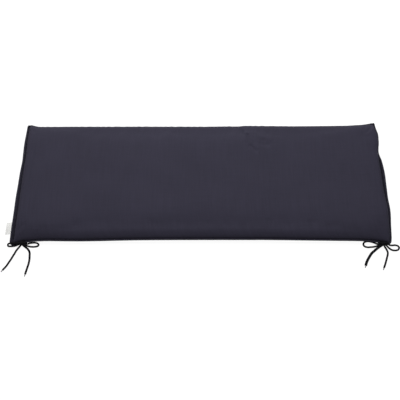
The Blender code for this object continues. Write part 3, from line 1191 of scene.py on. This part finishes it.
        # Painted shade: how much the cloth darkens in the tuck beside the piping
        write_number(mesh, "tuck", self.tuck(plain_x, plain_y) * face_up)
        normals = np.empty(len(mesh.vertices) * 3)
        mesh.vertices.foreach_get("normal", normals)
        places = read_places(mesh) + normals.reshape(-1, 3) * height[:, None]
        places[:, 2] = np.maximum(places[:, 2], 0.0)
        write_places(mesh, places)
        for name in ("plain_x", "plain_y", "face_up"):
            mesh.attributes.remove(mesh.attributes[name])

    def build(self) -> bpy.types.Object:
        """Builds, fills and sews the cover.

        Returns:
            The dressed cover.
        """
        cover = self.shell()
        self.fill(cover)
        self.sew(cover)
        settle(cover, Slot.COVER, Finish.COVER, "cushion")
        return cover


@dataclass
class Piping:
    """The cloth-covered cord sewn into the rim."""

    diameter: float = 0.0055
    gap: float = 0.0003
    tuck: float = 0.0012
    pitch: float = 0.0035
    sides: int = 14

    def build(self, cushion: Cushion) -> bpy.types.Object:
        """Builds the piping round the cushion's rim.

        Args:
            cushion: The cushion that it is sewn to.

        Returns:
            The piping.
        """
        rim = cushion.rim(self.pitch)
        run = np.roll(rim, -1, axis=0) - np.roll(rim, 1, axis=0)
        outward = np.stack([run[:, 1], -run[:, 0], np.zeros(len(rim))], axis=1)
        outward /= np.linalg.norm(outward, axis=1)[:, None]
        centres = rim + outward * (self.diameter / 2 + self.gap - self.tuck)

        def radius(along: np.ndarray, angle: np.ndarray) -> np.ndarray:
            """Gives the radius, drawn in a little where the strip wrinkles.

            Args:
                along: Metres along the piping.
                angle: The angle around it.

            Returns:
                The radii.
            """
            wrinkle = np.sin(along * 410 + 2.2 * np.sin(along * 37) + angle)
            twist = np.sin(along * 93 + 2 * angle)
            return self.diameter / 2 * (1 + 0.022 * wrinkle + 0.012 * twist)

        piece = sweep("edge_piping", centres, radius, self.sides, closed=True)
        layer = piece.data.uv_layers["UVMap"]
        flat = np.empty(len(layer.data) * 2)
        layer.data.foreach_get("uv", flat)
        flat[0::2] *= math.pi * self.diameter
        layer.data.foreach_set("uv", flat)
        places = read_places(piece.data)
        # Painted shadow: the piping darkens at the back corners, where the roll shades it
        write_number(piece.data, "tuck", cushion.painted_corner_shade(places[:, 0], places[:, 1]))
        return settle(piece, Slot.PIPING, Finish.PIPING, "piping")


@dataclass
class SideLabel:
    """The folded ribbon sewn in under the piping at the left end, left bare."""

    length: float = 0.040
    reach: float = 0.018
    thickness: float = 0.0009
    fall: float = 0.0045
    bend: float = 1.6
    waviness: float = 0.0004
    flare: float = 0.0006
    below_piping: float = 0.0010
    centre_y: float = -0.182
    piping: float = 0.0055

    def build(self, cushion: Cushion) -> bpy.types.Object:
        """Builds the label as two plies folded at its free edge.

        Args:
            cushion: The cushion that it is sewn to.

        Returns:
            The label.
        """
        deselect_all()
        bpy.ops.mesh.primitive_grid_add(x_subdivisions=14, y_subdivisions=24, size=1.0)
        piece = bpy.context.object
        piece.name = piece.data.name = "side_label"
        places = read_places(piece.data)
        out = 0.5 - places[:, 0]
        y = self.centre_y + places[:, 1] * self.length
        y = y + (places[:, 1] * out ** 2) * self.flare
        rim_x = cushion.plan(np.full_like(y, -cushion.half_x), y)[0]
        x = rim_x - self.piping * 0.25 - out * (self.reach + self.piping * 0.75)
        drop = self.piping / 2 + self.below_piping + self.fall * out ** self.bend
        lift = self.waviness * np.sin(places[:, 1] * 5.2 + 0.6) * out
        z = cushion.seam_height(rim_x, y) - drop + lift
        write_places(piece.data, np.stack([x, y, z], axis=1))
        solid = piece.modifiers.new("plies", "SOLIDIFY")
        solid.thickness = self.thickness
        solid.offset = 0.0
        bevel = piece.modifiers.new("fold", "BEVEL")
        bevel.width = self.thickness * 0.42
        bevel.segments = 3
        bevel.limit_method = "ANGLE"
        apply_modifiers(piece)
        piece.data.shade_smooth()
        face_outwards(piece)
        return settle(piece, Slot.LABEL, Finish.RIBBON, "label_tag")


@dataclass
class CordTip:
    """A stiff tip rolled round a tail's end."""

    diameter: float = 0.0034
    length: float = 0.016
    gap: float = 0.0003
    overlap: float = 0.0012
    sides: int = 20
    bands: int = 8
    rim: float = 0.0006
    taper: float = 0.10
    unevenness: float = 0.015
    mouth: tuple[tuple[float, float], ...] = ((0.16, 0.10), (0.14, 0.03))

    def build(self, name: str, node: str, route: Sequence[Point], cord: float) -> bpy.types.Object:
        """Builds the tip in line with the tail's last stretch.

        Args:
            name: The piece's name.
            node: The node that it replaces.
            route: The tail's own points in millimetres.
            cord: The cord's diameter.

        Returns:
            The tip.
        """
        heading = (np.array(route[-1]) - np.array(route[-2])) * MM
        heading[2] = 0.0
        heading /= np.linalg.norm(heading)
        last = np.array(route[-1]) * MM
        base = last - heading * self.overlap
        base[2] = cord / 2
        end = last + heading * (self.length + self.gap)
        end[2] = self.diameter / 2 + self.gap
        length = float(np.linalg.norm(end - base))
        deselect_all()
        bpy.ops.mesh.primitive_cylinder_add(vertices=self.sides, radius=self.diameter / 2,
                                            depth=length, end_fill_type="NGON",
                                            location=(0.0, 0.0, length / 2))
        piece = bpy.context.object
        piece.name = piece.data.name = name
        bpy.ops.object.mode_set(mode="EDIT")
        bpy.ops.mesh.select_all(action="DESELECT")
        bpy.ops.object.mode_set(mode="OBJECT")
        for face in piece.data.polygons:
            face.select = face.normal.z > 0.9
        bpy.ops.object.mode_set(mode="EDIT")
        bpy.ops.mesh.select_mode(type="FACE")
        for thickness, depth in self.mouth:
            bpy.ops.mesh.inset(thickness=self.diameter * thickness, depth=self.diameter * depth)
        bands = [length * band / self.bands for band in range(1, self.bands)]
        for level in (length - self.rim, *bands):
            bpy.ops.mesh.select_all(action="SELECT")
            bpy.ops.mesh.bisect(plane_co=(0.0, 0.0, level), plane_no=(0.0, 0.0, 1.0))
        bpy.ops.object.mode_set(mode="OBJECT")
        places = read_places(piece.data)
        share = np.clip(places[:, 2] / length, 0, 1)
        angle = np.arctan2(places[:, 1], places[:, 0])
        crimp = 1 + self.taper * (1 - share) ** 3 - self.taper * share
        crimp = crimp + self.unevenness * np.sin(3 * angle + 9 * share)
        places[:, :2] *= crimp[:, None]
        write_places(piece.data, places)
        layer = piece.data.uv_layers["UVMap"]
        corners = np.empty(len(piece.data.loops), dtype=int)
        piece.data.loops.foreach_get("vertex_index", corners)
        uvs = np.stack([(angle[corners] / (2 * np.pi)) % 1.0, share[corners]], axis=1)
        layer.data.foreach_set("uv", uvs.ravel())
        turn = Vector((0.0, 0.0, 1.0)).rotation_difference(Vector(end - base)).to_matrix().to_4x4()
        piece.data.transform(Matrix.Translation(Vector(base)) @ turn)
        piece.location = (0.0, 0.0, 0.0)
        piece.data.shade_smooth()
        piece.data.set_sharp_from_angle(angle=math.radians(50))
        return settle(piece, Slot.TIP, Finish.TIP, node)


@dataclass
class BowTie:
    """One cord tied in a bow at a front corner."""

    side: str
    knot: Point
    loops: dict[str, tuple[Point, ...]]
    tails: dict[str, tuple[Point, ...]]
    tail_widths: dict[str, float]
    diameter: float = 0.0058
    spacing: float = 0.0012
    sides: int = 16
    knot_size: Point = (0.0130, 0.0115, 0.0118)
    knot_points: int = 40
    hidden: float = 0.55
    unevenness: float = 0.02
    inset: float = 0.46
    turn_radius: float = 0.47
    root_radius: float = 0.48
    piping: float = 0.0055
    over_piping: float = 0.0009
    in_seam: float = 0.0030
    sink: float = 0.0014
    past_rim: float = 0.0004
    arch: float = 0.0002
    in_knot: float = 0.002

    def strand(self, name: str, route: Sequence[Point], lean_in: int,
               width: float) -> tuple[bpy.types.Object, np.ndarray]:
        """Sweeps one stretch of cord and runs its hidden ends into the knot.

        Args:
            name: The piece's name.
            route: The route's points in millimetres.
            lean_in: How many of its ends lie in the knot.
            width: The cord's width, more than its thickness where it lies flattened.

        Returns:
            The cord and its centre line.
        """
        knot = np.array(self.knot)
        points = [np.array(point) for point in route]
        points.insert(0, points[0] + (knot - points[0]) * self.hidden)
        if lean_in == 2:
            points.append(points[-1] + (knot - points[-1]) * self.hidden)
        places = [tuple(point * MM) for point in points]
        line = smooth_route(places, self.spacing, self.diameter / 2)

        def radius(along: np.ndarray, angle: np.ndarray) -> np.ndarray:
            """Gives the radius of the oval section, a little uneven as braided cord is.

            Args:
                along: Metres along the cord.
                angle: The angle around it.

            Returns:
                The radii.
            """
            thick = self.diameter ** 1.5 / width ** 0.5
            oval = width * thick / np.hypot(thick * np.cos(angle), width * np.sin(angle)) / 2
            return oval * (1 + self.unevenness * np.sin(along * 700 + angle))

        return sweep(name, line, radius, self.sides, closed=False), line

    def even(self, share: float) -> Callable[[np.ndarray, np.ndarray], np.ndarray]:
        """Gives the same radius everywhere, as a share of the cord's diameter."""
        return lambda along, angle: self.diameter * share + 0 * (along + angle)

    def wraps(self) -> bpy.types.Object:
        """Builds the knot as turns of the cord drawn tight round the strands.

        Returns:
            The knot.
        """
        turns = []
        half = np.array(self.knot_size) / 2
        centre = np.array(self.knot) * MM
        angles = 2 * np.pi * np.arange(self.knot_points) / self.knot_points
        for shift, lean, grow in KNOT_TURNS:
            reach_y = (half[1] - self.diameter * self.inset) * grow
            reach_z = (half[2] - self.diameter * self.inset) * grow
            y, z = reach_y * np.cos(angles), reach_z * np.sin(angles)
            ring = centre + np.stack([shift + lean * y, y, z], axis=1)
            name = f"tie_{self.side}_turn_{len(turns)}"
            turns.append(sweep(name, ring, self.even(self.turn_radius), self.sides, closed=True))
        knot = join(turns, f"bow_knot_{self.side}")
        return settle(knot, Slot.CORD, Finish.CORD, f"tie_{self.side}_knot")

    def root(self, cushion: Cushion) -> bpy.types.Object:
        """Builds the two strands that come out of the seam over the piping.

        Args:
            cushion: The cushion that they are sewn to.

        Returns:
            The two strands as one piece.
        """
        x, y, z = (part * MM for part in self.knot)
        plain_x = np.array([x])
        rim_y = float(cushion.plan(plain_x, np.array([-cushion.half_y]))[1][0])
        seam = float(cushion.seam_height(plain_x, np.array([rim_y]))[0])
        level = seam + self.piping / 2 + self.over_piping + self.diameter / 2
        strands = []
        for index, shift in enumerate((-self.diameter / 2, self.diameter / 2)):
            route = (
                (x + shift, rim_y + self.in_seam, level - self.sink),
                (x + shift, rim_y - self.past_rim, level),
                (x + shift * 0.9, (rim_y + y) / 2, level + self.arch),
                (x + shift * 0.6, y + self.in_knot, z),
            )
            line = smooth_route(route, self.spacing, self.diameter / 2)
            strands.append(sweep(f"tie_{self.side}_root_{index}", line, self.even(self.root_radius),
                                 self.sides, closed=False))
        root = join(strands, f"bow_root_{self.side}")
        return settle(root, Slot.CORD, Finish.CORD, f"tie_{self.side}_root")

    def build(self, cushion: Cushion) -> None:
        """Builds the bow and its cords.

        Args:
            cushion: The cushion that it is sewn to.
        """
        knot = self.wraps()
        root = self.root(cushion)
        tip = CordTip()
        for place, route in self.loops.items():
            cord, line = self.strand(f"bow_loop_{self.side}_{place}", route, 2, self.diameter)
            settle(cord, Slot.CORD, Finish.CORD, f"tie_{self.side}_loop_{place}")
        for place, route in self.tails.items():
            width = self.tail_widths[place]
            cord, line = self.strand(f"bow_tail_{self.side}_{place}", route, 1, width)
            settle(cord, Slot.CORD, Finish.CORD, f"tie_{self.side}_tail_{place}")
            end = tip.build(f"bow_tip_{self.side}_{place}", f"tie_{self.side}_aglet_{place}", route,
                            self.diameter)


LEFT_BOW = BowTie(
    side="left",
    knot=(-568.0, -243.0, 19.2),
    tail_widths={"outer": 0.0062, "inner": 0.0068},
    loops={
        "outer": (
            (-576.0, -243.4, 21.2), (-582.0, -242.4, 18.4), (-590.0, -241.2, 15.6),
            (-598.0, -240.2, 14.2), (-606.0, -239.6, 12.4), (-612.0, -239.4, 9.0),
            (-614.8, -241.6, 5.6), (-613.0, -244.8, 3.8), (-607.0, -246.4, 4.8),
            (-599.0, -247.4, 7.0), (-588.4, -247.4, 10.4), (-576.6, -245.0, 15.8),
        ),
        "inner": (
            (-559.2, -242.8, 21.6), (-554.9, -242.4, 16.6), (-551.8, -241.1, 10.9),
            (-547.0, -236.8, 7.4), (-540.0, -233.4, 4.4), (-530.0, -231.8, 2.9),
            (-521.4, -234.4, 2.6), (-518.0, -239.6, 2.6), (-521.4, -244.8, 2.6),
            (-531.0, -247.0, 2.6), (-542.6, -247.0, 3.6), (-552.2, -247.0, 8.2),
            (-559.2, -245.8, 15.6),
        ),
    },
    tails={
        "outer": (
            (-570.9, -247.0, 15.0), (-577.0, -251.6, 8.8), (-582.6, -256.0, 4.2),
            (-586.8, -262.6, 2.5), (-589.8, -271.0, 2.5), (-594.0, -280.5, 2.5),
            (-598.2, -291.5, 2.5), (-603.4, -302.4, 2.5), (-607.8, -312.4, 2.5),
            (-612.4, -320.8, 2.5), (-620.0, -331.6, 2.5),
        ),
        "inner": (
            (-565.0, -247.6, 14.5), (-557.5, -251.6, 8.8), (-551.0, -255.4, 4.4),
            (-546.2, -261.4, 2.5), (-543.0, -269.5, 2.5), (-541.9, -280.5, 2.5),
            (-541.0, -291.5, 2.5), (-541.3, -302.4, 2.5), (-542.5, -313.3, 2.5),
            (-544.4, -324.0, 2.5), (-546.2, -334.0, 2.5), (-548.4, -346.5, 2.5),
        ),
    },
)

RIGHT_BOW = BowTie(
    side="right",
    knot=(569.5, -243.6, 19.2),
    tail_widths={"outer": 0.0062, "inner": 0.0086},
    loops={
        "outer": (
            (578.2, -243.2, 21.4), (584.4, -244.6, 17.0), (592.0, -246.0, 11.4),
            (600.6, -243.6, 6.2), (610.0, -241.2, 3.6), (618.6, -243.4, 2.8),
            (622.2, -250.4, 2.6), (617.6, -258.0, 2.6), (608.0, -260.4, 2.6),
            (597.6, -258.4, 3.0), (587.2, -253.0, 8.0), (578.2, -246.8, 15.4),
        ),
        "inner": (
            (560.8, -243.3, 21.6), (556.2, -242.7, 16.6), (552.2, -241.2, 10.8),
            (545.6, -234.6, 6.6), (536.0, -228.8, 3.6), (525.0, -226.6, 2.6),
            (514.6, -230.0, 2.6), (510.4, -237.8, 2.6), (513.8, -245.4, 2.6),
            (523.0, -248.6, 2.6), (535.4, -247.8, 2.6), (548.8, -247.2, 5.8),
            (554.6, -246.5, 10.1), (560.8, -245.9, 15.8),
        ),
    },
    tails={
        "outer": (
            (572.3, -247.6, 15.0), (576.6, -252.6, 8.6), (581.6, -258.4, 4.0),
            (584.0, -266.4, 2.5), (583.0, -275.0, 2.5), (579.8, -285.0, 2.5),
            (576.2, -295.4, 2.5), (572.6, -305.6, 2.5), (569.0, -315.0, 2.5),
            (565.4, -323.7, 2.5),
        ),
        "inner": (
            (566.4, -248.0, 14.6), (556.5, -252.4, 8.6), (548.0, -257.4, 4.4),
            (540.5, -263.8, 2.5), (533.2, -270.8, 2.5), (526.2, -280.8, 2.5),
            (519.6, -291.8, 2.5), (513.4, -303.8, 2.5), (509.4, -315.6, 2.5),
        ),
    },
)


@dataclass
class Studio:
    """The floor, the soft light and the camera."""

    eye: Point = (-0.007, -1.676, 2.302)
    down: float = 55.0
    lens: float = 76.95
    sensor: float = 36.0
    floor_size: float = 120.0
    floor_drop: float = 0.0002
    sky: float = 0.08

    def camera(self) -> None:
        """Places the camera at the photograph's angle."""
        data = bpy.data.cameras.new("camera")
        data.lens = self.lens
        data.sensor_width = self.sensor
        item = bpy.data.objects.new("camera", data)
        item.location = self.eye
        item.rotation_euler = (math.radians(90 - self.down), 0.0, 0.0)
        bpy.context.collection.objects.link(item)
        bpy.context.scene.camera = item

    def floor(self) -> None:
        """Lays the plain pale floor just under the object."""
        deselect_all()
        bpy.ops.mesh.primitive_plane_add(size=self.floor_size, location=(0.0, 0.0, 0.0))
        floor = bpy.context.object
        floor.name = floor.data.name = "studio_floor"
        floor.data.transform(Matrix.Translation((0.0, 0.0, -self.floor_drop)))
        Finish.FLOOR.dress(floor)

    def lamp(self, name: str, place: Point, aim: Point, size: float, power: float) -> None:
        """Adds one large soft lamp.

        Args:
            name: The lamp's name.
            place: Where it hangs.
            aim: What it points at.
            size: Its width in metres.
            power: Its power in watts.
        """
        data = bpy.data.lights.new(name, "AREA")
        data.shape = "SQUARE"
        data.size = size
        data.energy = power
        item = bpy.data.objects.new(name, data)
        item.location = place
        item.rotation_euler = (Vector(aim) - Vector(place)).to_track_quat("-Z", "Y").to_euler()
        bpy.context.collection.objects.link(item)

    def build(self) -> None:
        """Sets up the studio."""
        self.camera()
        self.floor()
        world = bpy.data.worlds.new("studio")
        world.use_nodes = True
        background = next(node for node in world.node_tree.nodes if node.type == "BACKGROUND")
        background.inputs["Color"].default_value = (1.0, 1.0, 1.0, 1.0)
        background.inputs["Strength"].default_value = self.sky
        bpy.context.scene.world = world
        bpy.context.scene.view_settings.view_transform = "Standard"
        for lamp in LAMPS:
            self.lamp(*lamp)


def main() -> None:
    """Builds the scene in order and reports each piece."""
    logging.basicConfig(level=logging.INFO, format="%(message)s")
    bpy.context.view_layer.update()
    Studio().build()
    cushion = Cushion()
    for bow in (LEFT_BOW, RIGHT_BOW):
        bow.build(cushion)
        log.info("bow %s tied", bow.side)
    cushion.build()
    Piping().build(cushion)
    SideLabel().build(cushion)


if __name__ == "__main__":
    main()
